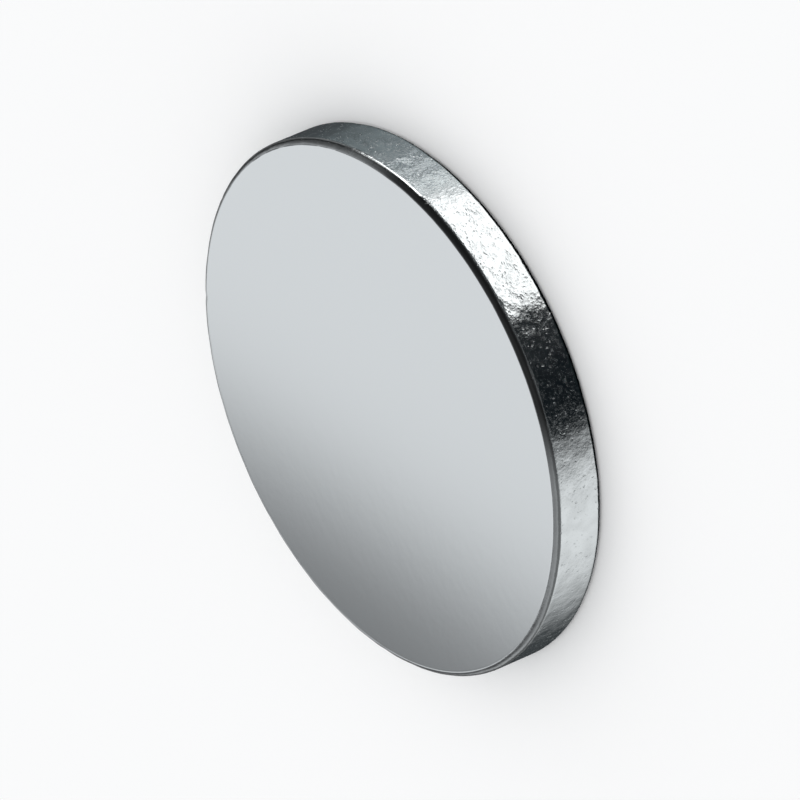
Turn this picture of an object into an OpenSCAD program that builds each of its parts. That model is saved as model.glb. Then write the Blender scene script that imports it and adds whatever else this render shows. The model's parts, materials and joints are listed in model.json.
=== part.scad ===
// Disc magnet: one thin sintered disc under bright nickel plating, 10 x 1 mm.
// It lies flat on one pole face. The origin is the centre of that lower face,
// and +Z runs up the disc's axis, through both poles.

/* [Disc] */
// Diameter over the plating
disc_d = 10; // [5:0.5:30]
// Thickness over the plating, from pole face to pole face
disc_t = 1; // [0.6:0.1:5]

/* [Edges] */
// Radius that tumbling leaves where the rim meets each pole face
edge_r = 0.12; // [0.04:0.01:0.25]

/* [Hidden] */

disc_r = disc_d / 2;
// Fragments of a full turn, for the preview of the rim and its rounded edges
turn_fn = 180;
arc_fn = 48;
// How far a cutting shape stands past the surface that it cuts
past = edge_r;

// What tumbling takes off a square corner at (disc_r, 0): the corner itself, less a quarter circle
module tumbled_off() {
    difference() {
        translate([disc_r - edge_r, -past])
            square([edge_r + past, edge_r + past]);
        translate([disc_r - edge_r, edge_r])
            circle(r = edge_r, $fn = arc_fn);
    }
}

// Half of the disc's section, from the axis out to the rim
module half_section() {
    difference() {
        square([disc_r, disc_t]);
        tumbled_off();
        translate([0, disc_t])
            mirror([0, 1])
                tumbled_off();
    }
}

module disc_magnet() {
    color([0.80, 0.82, 0.83])
        rotate_extrude($fn = turn_fn)
            half_section();
}

disc_magnet();
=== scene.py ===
"""Dresses one disc magnet, 10 x 1 mm: a tumbled disc under bright nickel plating, on a plain pale stage."""

import json
import math
import random
from collections import namedtuple

import bmesh
import bpy
from mathutils import Matrix, Vector


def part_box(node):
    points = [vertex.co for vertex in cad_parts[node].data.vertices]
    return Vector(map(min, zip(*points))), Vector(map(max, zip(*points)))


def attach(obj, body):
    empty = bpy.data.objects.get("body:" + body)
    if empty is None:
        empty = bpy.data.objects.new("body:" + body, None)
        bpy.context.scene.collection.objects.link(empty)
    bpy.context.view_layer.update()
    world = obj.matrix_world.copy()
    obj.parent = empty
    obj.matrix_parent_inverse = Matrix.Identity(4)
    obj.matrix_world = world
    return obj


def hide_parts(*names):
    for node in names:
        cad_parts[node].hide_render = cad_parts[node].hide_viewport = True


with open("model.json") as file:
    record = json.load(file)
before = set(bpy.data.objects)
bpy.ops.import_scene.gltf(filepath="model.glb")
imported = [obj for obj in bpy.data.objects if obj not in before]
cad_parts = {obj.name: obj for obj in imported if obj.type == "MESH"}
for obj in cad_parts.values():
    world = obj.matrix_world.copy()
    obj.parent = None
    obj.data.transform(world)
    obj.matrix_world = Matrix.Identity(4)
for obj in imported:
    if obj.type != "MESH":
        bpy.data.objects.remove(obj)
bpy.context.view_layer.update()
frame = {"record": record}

bl_info = {
    "name": "Disc Magnet",
    "version": (1, 0, 0),
    "blender": (4, 5, 0),
    "location": "View3D > Sidebar > Disc Magnet",
    "description": "A tumbled and nickel plated disc magnet, and the pale stage that it lies on",
    "category": "Add Mesh",
}

# One millimetre, in the scene's metres
MM = 0.001

# What the frame says of the disc
NODE = "disc_magnet"
MATERIAL_ROW = frame["record"]["materials"][0]
PLATING_COLOUR = MATERIAL_ROW["base_color"][:3]
LOW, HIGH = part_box(NODE)
DISC_D = HIGH.x - LOW.x
DISC_T = HIGH.z - LOW.z
RIM_MOUNT = next(m for m in frame["record"]["mounts"] if m["name"] == "rim")
# The rim mount is the straight wall, so what is left of the thickness is the two rounded edges
EDGE_R = (DISC_T - RIM_MOUNT["dims"]["length_mm"] * MM) / 2

# The name of the piece that takes the node's place
PIECE = "nickel_disc"


class DiscShape(bpy.types.PropertyGroup):
    """Sizes of the disc"""
    diameter: bpy.props.FloatProperty(
        name="Diameter", description="Across the plated rim",
        default=DISC_D, min=1 * MM, unit="LENGTH", precision=5)
    thickness: bpy.props.FloatProperty(
        name="Thickness", description="From pole face to pole face",
        default=DISC_T, min=0.3 * MM, unit="LENGTH", precision=5)
    edge_radius: bpy.props.FloatProperty(
        name="Edge radius", description="Rounding that tumbling leaves between the rim and each pole face",
        default=EDGE_R, min=0.01 * MM, unit="LENGTH", precision=5)
    edge_wander: bpy.props.FloatProperty(
        name="Edge wander", description="How far the tumbled edges stray from an even radius",
        default=0.008 * MM, min=0, unit="LENGTH", precision=6)
    nicks: bpy.props.IntProperty(
        name="Nicks", description="How many small dents knocks have left in the rounded edges",
        default=9, min=0, max=80)
    nick_depth: bpy.props.FloatProperty(
        name="Nick depth", description="Depth of the deepest nick",
        default=0.012 * MM, min=0, unit="LENGTH", precision=6)


class Plating(bpy.types.PropertyGroup):
    """Finish of the nickel plating, and the painted shade on its rounded edges"""
    colour: bpy.props.FloatVectorProperty(
        name="Colour", description="Colour of the bare nickel's reflection",
        default=PLATING_COLOUR, size=3, subtype="COLOR", min=0, max=1)
    pit_size: bpy.props.FloatProperty(
        name="Pit size", description="Across one pit of the rim's plating, in millimetres",
        default=0.062, min=0.02, max=1)
    pit_depth: bpy.props.FloatProperty(
        name="Pit depth", description="Depth of the rim's pits, in millimetres",
        default=0.004, min=0, max=0.05)
    rim_roughness: bpy.props.FloatProperty(
        name="Rim roughness", description="Roughness of the plating between the rim's pits",
        default=0.16, min=0, max=1, subtype="FACTOR")
    pit_roughness: bpy.props.FloatProperty(
        name="Pit roughness", description="Roughness of the plating inside the rim's pits",
        default=0.3, min=0, max=1, subtype="FACTOR")
    face_roughness: bpy.props.FloatProperty(
        name="Face roughness", description="Roughness of the polished pole faces",
        default=0.14, min=0, max=1, subtype="FACTOR")
    face_grain_size: bpy.props.FloatProperty(
        name="Face grain size", description="Across one grain of the polished pole faces, in millimetres",
        default=0.25, min=0.02, max=2)
    face_grain_depth: bpy.props.FloatProperty(
        name="Face grain depth", description="Depth of the pole faces' grain, in millimetres",
        default=0.0003, min=0, max=0.01, precision=5)
    # Painted shade: the rounded edges' colour is darkened to stand in for the dark reflection seen in them
    painted_edge_shade_tone: bpy.props.FloatProperty(
        name="Edge tone", description="Brightness of the rounded edges, as a share of the plating's colour",
        default=0.35, min=0, max=1, subtype="FACTOR")
    # Painted shade: an arc of the rounded edges on the camera's side is darkest, standing in for the dark
    # reflection that the camera sees there
    painted_arc_tone: bpy.props.FloatProperty(
        name="Dark arc tone", description="Brightness of the edges' darkest arc, as a share of that colour",
        default=0.05, min=0, max=1, subtype="FACTOR")
    painted_arc_centre: bpy.props.FloatProperty(
        name="Dark arc centre", description="Where the middle of the darkest arc lies, from -Y towards +X",
        default=math.radians(15), unit="ROTATION")
    painted_arc_reach: bpy.props.FloatProperty(
        name="Dark arc reach", description="How far the darkest arc reaches to either side of its middle",
        default=math.radians(46), min=math.radians(10), max=math.radians(90), unit="ROTATION")


class Stage(bpy.types.PropertyGroup):
    """Floor, lights and camera"""
    floor_colour: bpy.props.FloatVectorProperty(
        name="Floor", description="Colour of the floor",
        default=(0.93, 0.935, 0.94), size=3, subtype="COLOR", min=0, max=1)
    floor_radius: bpy.props.FloatProperty(
        name="Floor radius", description="From the middle of the floor to its edge",
        default=1.5, min=0.1, unit="LENGTH")
    room_light: bpy.props.FloatProperty(
        name="Room light", description="Strength of the even light that the floor stands in",
        default=1.03, min=0)
    tent_radius: bpy.props.FloatProperty(
        name="Tent radius", description="Radius of the light tent that the rim reflects",
        default=0.2, unit="LENGTH")
    dome_radius: bpy.props.FloatProperty(
        name="Dome radius", description="Radius of the dome close over the disc, that the pole face reflects",
        default=0.03, unit="LENGTH")
    camera_elevation: bpy.props.FloatProperty(
        name="Camera elevation", description="Angle of the line of sight above the pole face",
        default=math.radians(31.6), unit="ROTATION")
    camera_roll: bpy.props.FloatProperty(
        name="Camera roll", description="How far the picture is turned, counter-clockwise, from upright",
        default=math.radians(113.05), unit="ROTATION")
    frame_width: bpy.props.FloatProperty(
        name="Frame width", description="Width that the picture covers at the disc",
        default=14 * MM, unit="LENGTH", precision=5)
    lens: bpy.props.FloatProperty(
        name="Lens", description="Focal length, in millimetres, long enough to show hardly any perspective",
        default=600, min=50)


def direction(azimuth, elevation):
    """A unit vector, from radians. Azimuth grows from the camera's side, which is -Y, towards +X."""
    level = math.cos(elevation)
    return Vector((math.sin(azimuth) * level, -math.cos(azimuth) * level, math.sin(elevation)))


# Mesh

# How finely the disc is divided: all round, across a rounded edge and up the straight wall
AROUND = 720
EDGE_STEPS = 12
WALL_CUTS = 13
# Widths of the rings inside each pole face's edge, which keep its shading flat
FACE_RINGS = (0.03 * MM, 0.09 * MM, 0.6 * MM, 1.4 * MM)
# Starts the random draws, so that every run makes the same disc
SEED = 7
# Share of the edge radius over which the wander fades in from a rounded edge's borders
EDGE_FADE = 0.5
# The waves in which the edges stray: how many go round the disc, and the least and greatest size
WAVE_COUNTS = (3, 7, 16, 29, 53)
WAVE_SIZES = (0.4, 1)
# Where nicks lie: heights from the nearer pole face, and the distance in from the rim, in edge radii
NICK_HEIGHTS = (0.2, 0.45, 0.8)
NICK_INSET = 0.3
# The share of them that are in the upper edge
UPPER_NICKS = 0.6
# Least and greatest reach of a nick, in millimetres, and its depth as a share of the deepest
NICK_REACHES = (0.04, 0.12)
NICK_DEPTHS = (0.3, 1)
# How many reaches away a nick is too shallow to count
NICK_END = 3


def is_pole(face):
    """A pole face is the only one with more than four corners."""
    return len(face.verts) > 4


def turn_blank(bm, shape):
    """A square-edged disc that stands on its lower pole face."""
    radius = shape.diameter / 2
    bmesh.ops.create_cone(
        bm, cap_ends=True, cap_tris=False, segments=AROUND, radius1=radius, radius2=radius,
        depth=shape.thickness, matrix=Matrix.Translation((0, 0, shape.thickness / 2)))


def tumble_edges(bm, shape):
    """Rounds both edges of the rim."""
    corners = [e for e in bm.edges if any(is_pole(f) for f in e.link_faces)]
    bmesh.ops.bevel(
        bm, geom=corners, offset=shape.edge_radius, offset_type="OFFSET", segments=EDGE_STEPS,
        profile=0.5, affect="EDGES", clamp_overlap=True, material=-1)


def ring_wall(bm, shape):
    """Divides the straight wall into rings, as fine as the steps round it."""
    middle = shape.thickness / 2
    uprights = [e for e in bm.edges if (e.verts[0].co.z - middle) * (e.verts[1].co.z - middle) < 0]
    bmesh.ops.subdivide_edges(bm, edges=uprights, cuts=WALL_CUTS, use_grid_fill=True)


def ring_poles(bm):
    """Insets rings inside each pole face's edge, and closes the face at its centre."""
    poles = [f for f in bm.faces if is_pole(f)]
    for width in FACE_RINGS:
        bmesh.ops.inset_individual(bm, faces=poles, thickness=width, use_even_offset=True)
    bmesh.ops.poke(bm, faces=poles)


def edge_share(co, shape):
    """1 in the middle of a rounded edge, and 0 on the wall and on a pole face."""
    inward = shape.diameter / 2 - math.hypot(co.x, co.y)
    height = min(co.z, shape.thickness - co.z)
    spare = 1 - max(inward, height) / shape.edge_radius
    return max(0.0, min(1.0, spare / EDGE_FADE))


def outward(co, shape):
    """The way that a rounded edge faces at a point near it."""
    radial = Vector((co.x, co.y, 0)).normalized()
    up = 1 if co.z > shape.thickness / 2 else -1
    return (radial + Vector((0, 0, up))).normalized()


def wander_edges(bm, shape, chance):
    """Lets the rounded edges stray a little, in slow waves round the disc."""
    waves = [(count, chance.uniform(0, math.tau), chance.uniform(*WAVE_SIZES)) for count in WAVE_COUNTS]
    for vert in bm.verts:
        share = edge_share(vert.co, shape)
        if share > 0:
            turn = math.atan2(vert.co.y, vert.co.x)
            # The upper edge strays out of step with the lower one
            shift = math.pi if vert.co.z > shape.thickness / 2 else 0
            wave = sum(size * math.sin(count * turn + start + shift) for count, start, size in waves)
            vert.co += outward(vert.co, shape) * (share * shape.edge_wander * wave / len(waves))


def nick_edges(bm, shape, chance):
    """Dents the rounded edges at a few places."""
    edge_verts = [v for v in bm.verts if edge_share(v.co, shape) > 0]
    radius = shape.diameter / 2 - NICK_INSET * shape.edge_radius
    for _ in range(shape.nicks):
        turn = chance.uniform(0, math.tau)
        height = chance.choice(NICK_HEIGHTS) * shape.edge_radius
        if chance.random() < UPPER_NICKS:
            height = shape.thickness - height
        reach = chance.uniform(*NICK_REACHES) * MM
        depth = shape.nick_depth * chance.uniform(*NICK_DEPTHS)
        centre = Vector((radius * math.cos(turn), radius * math.sin(turn), height))
        for vert in edge_verts:
            away = (vert.co - centre).length / reach
            if away < NICK_END:
                vert.co -= outward(vert.co, shape) * depth * math.exp(-away * away)


def disc_mesh(shape):
    """The whole disc, closed, with its faces outward."""
    chance = random.Random(SEED)
    bm = bmesh.new()
    turn_blank(bm, shape)
    tumble_edges(bm, shape)
    ring_wall(bm, shape)
    ring_poles(bm)
    wander_edges(bm, shape, chance)
    nick_edges(bm, shape, chance)
    bmesh.ops.recalc_face_normals(bm, faces=bm.faces)
    for face in bm.faces:
        face.smooth = True
    mesh = bpy.data.meshes.new(PIECE)
    bm.to_mesh(mesh)
    bm.free()
    return mesh


# Shader nodes


class Graph:
    """Adds nodes to one tree. A source is a socket, which is linked, or a plain value, which is set."""

    def __init__(self, tree):
        self.tree = tree

    def feed(self, socket, source):
        if isinstance(source, bpy.types.NodeSocket):
            self.tree.links.new(source, socket)
        else:
            socket.default_value = source

    def add(self, kind, inputs=None, **settings):
        """Inputs are sources by the name or the number of their socket."""
        node = self.tree.nodes.new(kind)
        for name, value in settings.items():
            setattr(node, name, value)
        for name, source in (inputs or {}).items():
            self.feed(node.inputs[name], source)
        return node

    def group(self, tree, inputs):
        """Places a node group, and hands back its outputs."""
        return self.add("ShaderNodeGroup", inputs, node_tree=tree).outputs

    def math(self, operation, *sources, clamp=False):
        inputs = dict(enumerate(sources))
        return self.add("ShaderNodeMath", inputs, operation=operation, use_clamp=clamp).outputs[0]

    def along(self, vector, way):
        """How far a vector reaches along a way."""
        return self.add("ShaderNodeVectorMath", {0: vector, 1: way}, operation="DOT_PRODUCT").outputs["Value"]

    def ramp(self, value, low, high, to_low=0.0, to_high=1.0):
        """Goes smoothly from to_low to to_high as value goes from low to high."""
        inputs = {"Value": value, "From Min": low, "From Max": high, "To Min": to_low, "To Max": to_high}
        return self.add("ShaderNodeMapRange", inputs, interpolation_type="SMOOTHSTEP").outputs["Result"]

    def blend(self, share, first, second):
        """Mixes two numbers."""
        return self.add("ShaderNodeMix", {0: share, 2: first, 3: second}, data_type="FLOAT").outputs[0]

    def tint(self, share, first, second):
        """Mixes two colours."""
        return self.add("ShaderNodeMix", {0: share, 6: first, 7: second}, data_type="RGBA").outputs[2]


def new_group(name, inputs, outputs):
    """An empty node group. Inputs are (name, socket kind, default), and outputs are names of numbers."""
    tree = bpy.data.node_groups.new(name, "ShaderNodeTree")
    for label, kind, default in inputs:
        socket = tree.interface.new_socket(label, in_out="INPUT", socket_type=kind)
        socket.default_value = default
    for label in outputs:
        tree.interface.new_socket(label, in_out="OUTPUT", socket_type="NodeSocketFloat")
    graph = Graph(tree)
    return tree, graph, graph.add("NodeGroupInput").outputs, graph.add("NodeGroupOutput").inputs


def new_material(name):
    material = bpy.data.materials.new(name)
    material.use_nodes = True
    material.node_tree.nodes.clear()
    return material, Graph(material.node_tree)


# Plating

# Where the rounded edge gives way to the straight rim, by height from the pole face, and to the pole
# face, by distance in from the rim: from the first of these to the second, in edge radii
RIM_BORDER = (0.6, 0.8)
FACE_BORDER = (0.75, 1.0)
# The noises of the grain. Slow waves and hollows come this many times for each grain
NOISE_ROUGHNESS = 0.65
GRAIN_DETAIL = 1.5
COARSE_DETAIL = 1.0
WAVES_PER_GRAIN = 0.17
HOLLOWS_PER_GRAIN = 0.7
# Levels of the noise at which a hollow starts, and reaches its full depth
HOLLOW_LEVELS = (0.36, 0.24)
# Weights of the waves and the hollows against the grain itself
RIM_WAVES = 4.0
RIM_HOLLOWS = 0.6
FACE_WAVES = 1.0
FACE_HOLLOWS = 0.0
# From low to high grain, the rim goes from rougher to smoother than its roughness by these
GRAIN_LEVELS = (0.3, 0.6)
LOW_GRAIN_ROUGHER = 0.09
HIGH_GRAIN_SMOOTHER = 0.04
# How bright dull plating is, and how much of it shows in a pit and, at most, in a cloud
DULL_TONE = 0.86
PIT_DULLNESS = 0.8
CLOUD_LEVELS = (0.35, 0.65)
CLOUD_DULLNESS = 0.7
# Share of the reach of the painted shade's darkest arc within which it is darkest
PAINTED_ARC_CORE = 0.6


def zones_group():
    """Tells the straight rim, the rounded edges and the pole faces apart, all sizes in millimetres."""
    tree, graph, given, result = new_group(
        "magnet zones",
        (("Vector", "NodeSocketVector", (0, 0, 0)), ("Radius", "NodeSocketFloat", DISC_D / 2 / MM),
         ("Thickness", "NodeSocketFloat", DISC_T / MM), ("Edge", "NodeSocketFloat", EDGE_R / MM)),
        ("Rim", "Face", "Rounded"))
    place = graph.add("ShaderNodeSeparateXYZ", {"Vector": given["Vector"]}).outputs
    squares = [graph.math("MULTIPLY", place[axis], place[axis]) for axis in "XY"]
    across = graph.math("POWER", graph.math("ADD", *squares), 0.5)
    inward = graph.math("SUBTRACT", given["Radius"], across)
    height = graph.math("MINIMUM", place["Z"], graph.math("SUBTRACT", given["Thickness"], place["Z"]))

    def beyond(distance, border):
        """From 0 to 1 across a border given in edge radii."""
        return graph.ramp(distance, *(graph.math("MULTIPLY", given["Edge"], share) for share in border))

    rim = beyond(height, RIM_BORDER)
    face = beyond(inward, FACE_BORDER)
    graph.feed(result["Rim"], rim)
    graph.feed(result["Face"], face)
    graph.feed(result["Rounded"], graph.math("SUBTRACT", 1.0, graph.math("ADD", rim, face), clamp=True))
    return tree


def grain_group():
    """Grain of plating over a tumbled surface. Height is for a bump, and Pits is 1 in the deepest hollows."""
    tree, graph, given, result = new_group(
        "plating grain",
        (("Vector", "NodeSocketVector", (0, 0, 0)), ("Size", "NodeSocketFloat", 1.0),
         ("Waves", "NodeSocketFloat", 1.0), ("Hollows", "NodeSocketFloat", 1.0)),
        ("Height", "Grain", "Pits", "Cloud"))

    def noise(often, detail):
        scale = graph.math("DIVIDE", often, given["Size"])
        return graph.add("ShaderNodeTexNoise", {
            "Vector": given["Vector"], "Scale": scale, "Detail": detail,
            "Roughness": NOISE_ROUGHNESS}).outputs["Fac"]

    grain = noise(1.0, GRAIN_DETAIL)
    waves = noise(WAVES_PER_GRAIN, COARSE_DETAIL)
    pits = graph.ramp(noise(HOLLOWS_PER_GRAIN, COARSE_DETAIL), *HOLLOW_LEVELS)
    rolling = graph.math("MULTIPLY", waves, given["Waves"])
    hollow = graph.math("MULTIPLY", pits, given["Hollows"])
    graph.feed(result["Height"], graph.math("SUBTRACT", graph.math("ADD", grain, rolling), hollow))
    graph.feed(result["Grain"], grain)
    graph.feed(result["Pits"], pits)
    graph.feed(result["Cloud"], waves)
    return tree


def plating_normal(graph, plating, zones, rim_grain, face_grain):
    """Pits on the rim, and a faint grain on the pole faces."""
    rim_height = graph.math("MULTIPLY", rim_grain["Height"], plating.pit_depth)
    face_height = graph.math("MULTIPLY", face_grain["Height"], plating.face_grain_depth)
    height = graph.blend(zones["Face"], rim_height, face_height)
    bump = graph.add("ShaderNodeBump", {"Height": height, "Strength": 1.0, "Distance": MM})
    return bump.outputs["Normal"]


def plating_roughness(graph, plating, zones, rim_grain):
    """Rougher in the rim's low grain and in its pits."""
    between_pits = graph.ramp(
        rim_grain["Grain"], *GRAIN_LEVELS, plating.rim_roughness + LOW_GRAIN_ROUGHER,
        plating.rim_roughness - HIGH_GRAIN_SMOOTHER)
    rim_rough = graph.blend(rim_grain["Pits"], between_pits, plating.pit_roughness)
    return graph.blend(zones["Face"], rim_rough, plating.face_roughness)


def plating_colour(graph, plating, zones, rim_grain, painted_arc_cosine):
    """Bright nickel, duller in the rim's pits and clouds, with painted shade on the rounded edges that is
    darkest in an arc on the camera's side.
    """
    def toned(tone):
        """The plating's colour at a share of its brightness."""
        return (*(tone * c for c in plating.colour), 1)

    pitted = graph.math("MULTIPLY", rim_grain["Pits"], zones["Rim"])
    colour = graph.tint(graph.math("MULTIPLY", pitted, PIT_DULLNESS), toned(1), toned(DULL_TONE))
    cloud = graph.ramp(rim_grain["Cloud"], *CLOUD_LEVELS, 0.0, CLOUD_DULLNESS)
    colour = graph.tint(graph.math("MULTIPLY", cloud, zones["Rim"]), colour, toned(DULL_TONE))
    in_painted_arc = graph.ramp(painted_arc_cosine, math.cos(plating.painted_arc_reach), math.cos(PAINTED_ARC_CORE * plating.painted_arc_reach))
    # Painted shade: the rounded edges darker than the plating, darkest in the arc on the camera's side
    painted_edge_shade = graph.tint(in_painted_arc, toned(plating.painted_edge_shade_tone), toned(plating.painted_arc_tone))
    return graph.tint(zones["Rounded"], colour, painted_edge_shade)


def plating_material(shape, plating):
    """Bright nickel: polished pole faces, rounded edges darkened with painted shade, and a finely pitted rim.
    """
    material, graph = new_material("bright_nickel_plating")
    radius = shape.diameter / 2 / MM
    metres = graph.add("ShaderNodeTexCoord").outputs["Object"]
    place = graph.add("ShaderNodeMapping", {"Vector": metres, "Scale": (1 / MM,) * 3}).outputs["Vector"]
    zones = graph.group(zones_group(), {
        "Vector": place, "Radius": radius, "Thickness": shape.thickness / MM,
        "Edge": shape.edge_radius / MM})
    grain = grain_group()
    rim_grain = graph.group(grain, {
        "Vector": place, "Size": plating.pit_size, "Waves": RIM_WAVES, "Hollows": RIM_HOLLOWS})
    face_grain = graph.group(grain, {
        "Vector": place, "Size": plating.face_grain_size, "Waves": FACE_WAVES, "Hollows": FACE_HOLLOWS})
    # Near the rim this is the cosine of the angle from the middle of the painted shade's darkest arc
    painted_arc_cosine = graph.along(place, direction(plating.painted_arc_centre, 0) / radius)
    shader = graph.add("ShaderNodeBsdfPrincipled", {
        "Base Color": plating_colour(graph, plating, zones, rim_grain, painted_arc_cosine),
        "Metallic": 1.0,
        "Roughness": plating_roughness(graph, plating, zones, rim_grain),
        "Normal": plating_normal(graph, plating, zones, rim_grain, face_grain)})
    graph.add("ShaderNodeOutputMaterial", {"Surface": shader.outputs["BSDF"]})
    return material


# Lights

# A fall of light within a panel, by the angle from the direction that azimuth and elevation give. The
# panel has its own colour up to near and the colour dim from far on. All the angles are in degrees
Fall = namedtuple("Fall", "azimuth elevation near far dim")
# A light panel, painted by direction. Each side is an angle and the width that it fades over, in degrees.
# Left and right are azimuths, from the camera's side towards +X, and low and high are elevations
Panel = namedtuple("Panel", "left right low high colour fall", defaults=(None,))
SIDES = ("Left", "Right", "Low", "High")
ALL_ROUND = ((-200, 10), (200, 10))
# Low and high sides round the elevation that the camera sees in the rim
BELOW = ((-48, 8), (-28, 8))
BELOW_SHARP = ((-48, 5), (-26, 5))

# The panels are painted one over another, so their order counts. Here left is -X and right is +X
PANELS = (
    # A soft fill from above, all round, and brightest on the left
    Panel(*ALL_ROUND, (22, 12), (84, 8), (0.6, 0.617, 0.625),
          Fall(-90, 60, 0, 72.5, (0.22, 0.226, 0.229))),
    # Dim light low all round, grey behind the disc, and a bright strip in the grey
    Panel(*ALL_ROUND, (-23, 6), (2, 8), (0.075, 0.08, 0.082)),
    Panel((112, 30), (222, 40), (-24, 8), (-4, 8), (0.21, 0.217, 0.22)),
    Panel((171, 12), (193, 12), (-24, 8), (0, 8), (0.95, 0.965, 0.97)),
    # On the left, dim light low and far back, then light grey from below the disc to well above it
    Panel((-178, 20), (-110, 40), *BELOW, (0.045, 0.052, 0.055)),
    Panel((-118, 62), (-48.5, 34), (-48, 8), (-4, 8), (0.82, 0.845, 0.85)),
    Panel((-150, 30), (-46, 24), (-2, 14), (48, 40), (0.92, 0.945, 0.96),
          Fall(147.8, 48.8, 85.4, 96.9, (0.42, 0.435, 0.44))),
    # Low on the right, near black in front, dim light far back, and between them grey in two tones
    Panel((-6, 26), (30, 5), *BELOW, (0.026, 0.029, 0.031)),
    Panel((137, 40), (186, 20), *BELOW, (0.055, 0.062, 0.066)),
    Panel((60, 10), (137, 40), *BELOW, (0.2, 0.235, 0.245)),
    Panel((60, 10), (103, 28), *BELOW, (0.17, 0.2, 0.215)),
    # White between the near black and the grey, and three narrow strips that break up the grey
    Panel((15.5, 5), (73, 6), *BELOW_SHARP, (1.5, 1.52, 1.51)),
    Panel((78, 2), (82.5, 2), *BELOW_SHARP, (1.25, 1.32, 1.32)),
    Panel((90, 2), (94.5, 2), *BELOW_SHARP, (1.0, 1.06, 1.07)),
    Panel((103, 2), (106, 2), *BELOW_SHARP, (0.42, 0.46, 0.47)),
    # A brilliant patch over the strips, which glints in the rounded edge
    Panel((72, 6), (98, 12), (-23, 6), (6, 8), (3, 3.05, 3.05)),
    # Above, dim light from the camera's side, and grey on the right
    Panel((-60, 60), (70, 60), (8, 8), (21, 16), (0.4, 0.415, 0.42)),
    Panel((75, 40), (150, 20), (9, 10), (56, 40), (0.5, 0.52, 0.53),
          Fall(-32.2, 48.8, 84.3, 103.9, (0.2, 0.208, 0.212))),
    # Behind the disc, a low light, and over it the key light, which the camera sees in the pole face
    Panel((157, 16), (203, 20), (0, 8), (18, 8), (0.66, 0.68, 0.69),
          Fall(68.9, 53.3, 86.6, 97.5, (0.3, 0.31, 0.315))),
    Panel((140, 30), (238, 60), (18, 8), (54, 12), (0.79, 0.81, 0.825),
          Fall(52, 45, 89.2, 95.5, (0.2, 0.207, 0.212))),
    # A light overhead
    Panel(*ALL_ROUND, (79, 6), (100, 6), (0.68, 0.7, 0.71),
          Fall(150, 0, 81.4, 98.6, (0.28, 0.29, 0.295))),
)
# What lies between the panels
DARK = (0.006, 0.009, 0.011)
# How finely the round shells that carry the panels are divided
SHELL_DIVISIONS = 5


def panel_group():
    """How much of a soft-edged light panel lies in a direction. All angles are in degrees."""
    names = ["Azimuth", "Elevation"]
    for side in SIDES:
        names += [side, side + " fade"]
    tree, graph, given, result = new_group(
        "soft panel", [(name, "NodeSocketFloat", 0.0) for name in names], ("Share",))

    def past(side, angle):
        """From 0 to 1 across one side of the panel."""
        half = graph.math("DIVIDE", given[side + " fade"], 2.0)
        start = graph.math("SUBTRACT", given[side], half)
        return graph.ramp(angle, start, graph.math("ADD", given[side], half))

    middle = graph.math("DIVIDE", graph.math("ADD", given["Left"], given["Right"]), 2.0)
    away = graph.math("WRAP", graph.math("SUBTRACT", given["Azimuth"], middle), 180.0, -180.0)
    turn = graph.math("ADD", middle, away)
    elevation = given["Elevation"]
    sideways = graph.math("SUBTRACT", past("Left", turn), past("Right", turn), clamp=True)
    upward = graph.math("SUBTRACT", past("Low", elevation), past("High", elevation), clamp=True)
    graph.feed(result["Share"], graph.math("MULTIPLY", sideways, upward))
    return tree


def panel_colour(graph, panel, way):
    """A panel's colour in a direction, with the fall of light where it has one."""
    colour = (*panel.colour, 1)
    fall = panel.fall
    if fall is None:
        return colour
    bright_way = direction(math.radians(fall.azimuth), math.radians(fall.elevation))
    far = math.cos(math.radians(fall.far))
    near = math.cos(math.radians(fall.near))
    bright_share = graph.ramp(graph.along(way, bright_way), far, near)
    return graph.tint(bright_share, (*fall.dim, 1), colour)


def tent_material():
    """What the plating reflects: soft panels on a dark ground, seen by direction from the disc."""
    material, graph = new_material("light_tent")
    place = graph.add("ShaderNodeTexCoord").outputs["Object"]
    way = graph.add("ShaderNodeVectorMath", {0: place}, operation="NORMALIZE").outputs["Vector"]
    part = graph.add("ShaderNodeSeparateXYZ", {"Vector": way}).outputs
    turn = graph.math("ARCTAN2", part["X"], graph.math("MULTIPLY", part["Y"], -1.0))
    azimuth = graph.math("DEGREES", turn)
    elevation = graph.math("DEGREES", graph.math("ARCSINE", part["Z"]))
    soft_panel = panel_group()
    glow = (*DARK, 1)
    for panel in PANELS:
        inputs = {"Azimuth": azimuth, "Elevation": elevation}
        for side, (angle, fade) in zip(SIDES, panel):
            inputs[side] = angle
            inputs[side + " fade"] = fade
        share = graph.group(soft_panel, inputs)["Share"]
        glow = graph.tint(share, glow, panel_colour(graph, panel, way))
    shader = graph.add("ShaderNodeEmission", {"Color": glow, "Strength": 1.0})
    graph.add("ShaderNodeOutputMaterial", {"Surface": shader.outputs["Emission"]})
    material.cycles.emission_sampling = "NONE"
    return material


def stage_object(name, bm, material):
    mesh = bpy.data.meshes.new(name)
    bm.to_mesh(mesh)
    bm.free()
    mesh.materials.append(material)
    obj = bpy.data.objects.new(name, mesh)
    bpy.context.scene.collection.objects.link(obj)
    return obj


def hang_shell(name, radius, material, upper_half=False):
    """A round shell about the disc, or its upper half, which faces inward. Only the plating sees it."""
    bm = bmesh.new()
    bmesh.ops.create_icosphere(bm, subdivisions=SHELL_DIVISIONS, radius=radius)
    if upper_half:
        bmesh.ops.bisect_plane(
            bm, geom=bm.verts[:] + bm.edges[:] + bm.faces[:], plane_co=(0, 0, 0), plane_no=(0, 0, -1),
            clear_outer=True)
    bmesh.ops.reverse_faces(bm, faces=bm.faces)
    shell = stage_object(name, bm, material)
    shell.visible_camera = False
    shell.visible_diffuse = False
    shell.visible_shadow = False
    shell.visible_transmission = False


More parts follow.
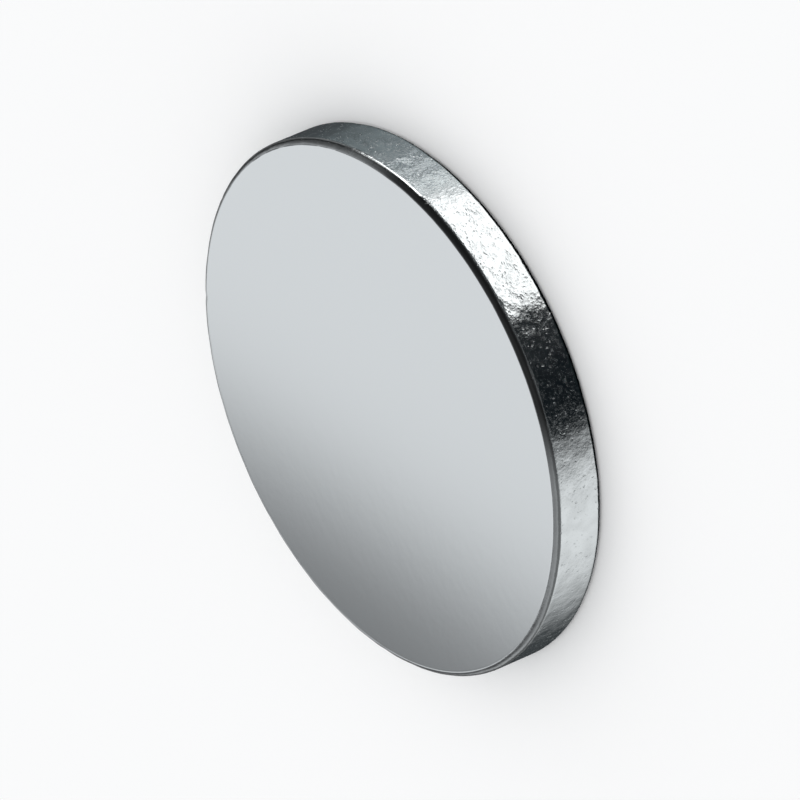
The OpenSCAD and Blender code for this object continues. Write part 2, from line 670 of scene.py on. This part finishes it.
def hang_lights(stage):
    """A wide tent, for what the rim reflects, and inside it a dome close over the disc."""
    material = tent_material()
    hang_shell("light_tent", stage.tent_radius, material)
    hang_shell("light_dome", stage.dome_radius, material, upper_half=True)


# Floor, room and camera

FLOOR_SIDES = 64
FLOOR_ROUGHNESS = 0.9
# Keeps the floor from cutting through the lower pole face
FLOOR_GAP = 0.002 * MM
# The nearest and the farthest that the camera sees, in metres
CLIP_START = 0.01
CLIP_END = 3


def lay_floor(stage):
    material, graph = new_material("pale_floor")
    shader = graph.add("ShaderNodeBsdfPrincipled", {
        "Base Color": (*stage.floor_colour, 1), "Roughness": FLOOR_ROUGHNESS, "Specular IOR Level": 0.0})
    graph.add("ShaderNodeOutputMaterial", {"Surface": shader.outputs["BSDF"]})
    bm = bmesh.new()
    bmesh.ops.create_circle(bm, cap_ends=True, segments=FLOOR_SIDES, radius=stage.floor_radius)
    floor = stage_object("pale_floor", bm, material)
    floor.location.z = LOW.z - FLOOR_GAP
    floor.visible_glossy = False


def light_room(stage):
    """An even, pale room: it lights the floor, and fills the picture past the floor's far edge."""
    world = bpy.data.worlds.new("pale_room")
    world.use_nodes = True
    bpy.context.scene.world = world
    background = world.node_tree.nodes["Background"]
    background.inputs["Color"].default_value = (1, 1, 1, 1)
    background.inputs["Strength"].default_value = stage.room_light
    world.cycles_visibility.glossy = False
    world.cycles.sampling_method = "NONE"


def place_camera(stage):
    """Looks at the middle of the disc from the photograph's angle."""
    data = bpy.data.cameras.new("camera")
    data.lens = stage.lens
    data.clip_start = CLIP_START
    data.clip_end = CLIP_END
    camera = bpy.data.objects.new("camera", data)
    bpy.context.scene.collection.objects.link(camera)
    back = direction(0, stage.camera_elevation)
    distance = stage.frame_width * data.lens / data.sensor_width
    upright = (-back).to_track_quat("-Z", "Y").to_matrix().to_4x4()
    roll = Matrix.Rotation(-stage.camera_roll, 4, "Z")
    camera.matrix_world = Matrix.Translation((LOW + HIGH) / 2 + back * distance) @ upright @ roll
    bpy.context.scene.camera = camera


# Operators


class DISC_MAGNET_OT_make_disc(bpy.types.Operator):
    """Makes the plated disc"""
    bl_idname = "disc_magnet.make_disc"
    bl_label = "Make the Disc"

    def execute(self, context):
        scene = context.scene
        mesh = disc_mesh(scene.disc_magnet_shape)
        mesh.materials.append(plating_material(scene.disc_magnet_shape, scene.disc_magnet_plating))
        disc = bpy.data.objects.new(PIECE, mesh)
        scene.collection.objects.link(disc)
        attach(disc, "root")
        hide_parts(NODE)
        return {"FINISHED"}


class DISC_MAGNET_OT_set_stage(bpy.types.Operator):
    """Lays the floor, hangs the lights and places the camera"""
    bl_idname = "disc_magnet.set_stage"
    bl_label = "Set the Stage"

    def execute(self, context):
        stage = context.scene.disc_magnet_stage
        lay_floor(stage)
        hang_lights(stage)
        light_room(stage)
        place_camera(stage)
        context.scene.view_settings.view_transform = "Standard"
        return {"FINISHED"}


class DISC_MAGNET_PT_panel(bpy.types.Panel):
    """Sizes, plating and stage of the disc magnet"""
    bl_label = "Disc Magnet"
    bl_space_type = "VIEW_3D"
    bl_region_type = "UI"
    bl_category = "Disc Magnet"

    def draw(self, context):
        scene = context.scene
        for settings in (scene.disc_magnet_shape, scene.disc_magnet_plating, scene.disc_magnet_stage):
            box = self.layout.box()
            for name in settings.bl_rna.properties.keys():
                if name not in ("rna_type", "name"):
                    box.prop(settings, name)
        self.layout.operator(DISC_MAGNET_OT_make_disc.bl_idname)
        self.layout.operator(DISC_MAGNET_OT_set_stage.bl_idname)


CLASSES = (
    DiscShape, Plating, Stage, DISC_MAGNET_OT_make_disc, DISC_MAGNET_OT_set_stage, DISC_MAGNET_PT_panel)


def register():
    for cls in CLASSES:
        bpy.utils.register_class(cls)
    bpy.types.Scene.disc_magnet_shape = bpy.props.PointerProperty(type=DiscShape)
    bpy.types.Scene.disc_magnet_plating = bpy.props.PointerProperty(type=Plating)
    bpy.types.Scene.disc_magnet_stage = bpy.props.PointerProperty(type=Stage)


def unregister():
    del bpy.types.Scene.disc_magnet_stage
    del bpy.types.Scene.disc_magnet_plating
    del bpy.types.Scene.disc_magnet_shape
    for cls in reversed(CLASSES):
        bpy.utils.unregister_class(cls)


def main():
    register()
    bpy.ops.disc_magnet.make_disc()
    bpy.ops.disc_magnet.set_stage()


if __name__ == "__main__":
    main()
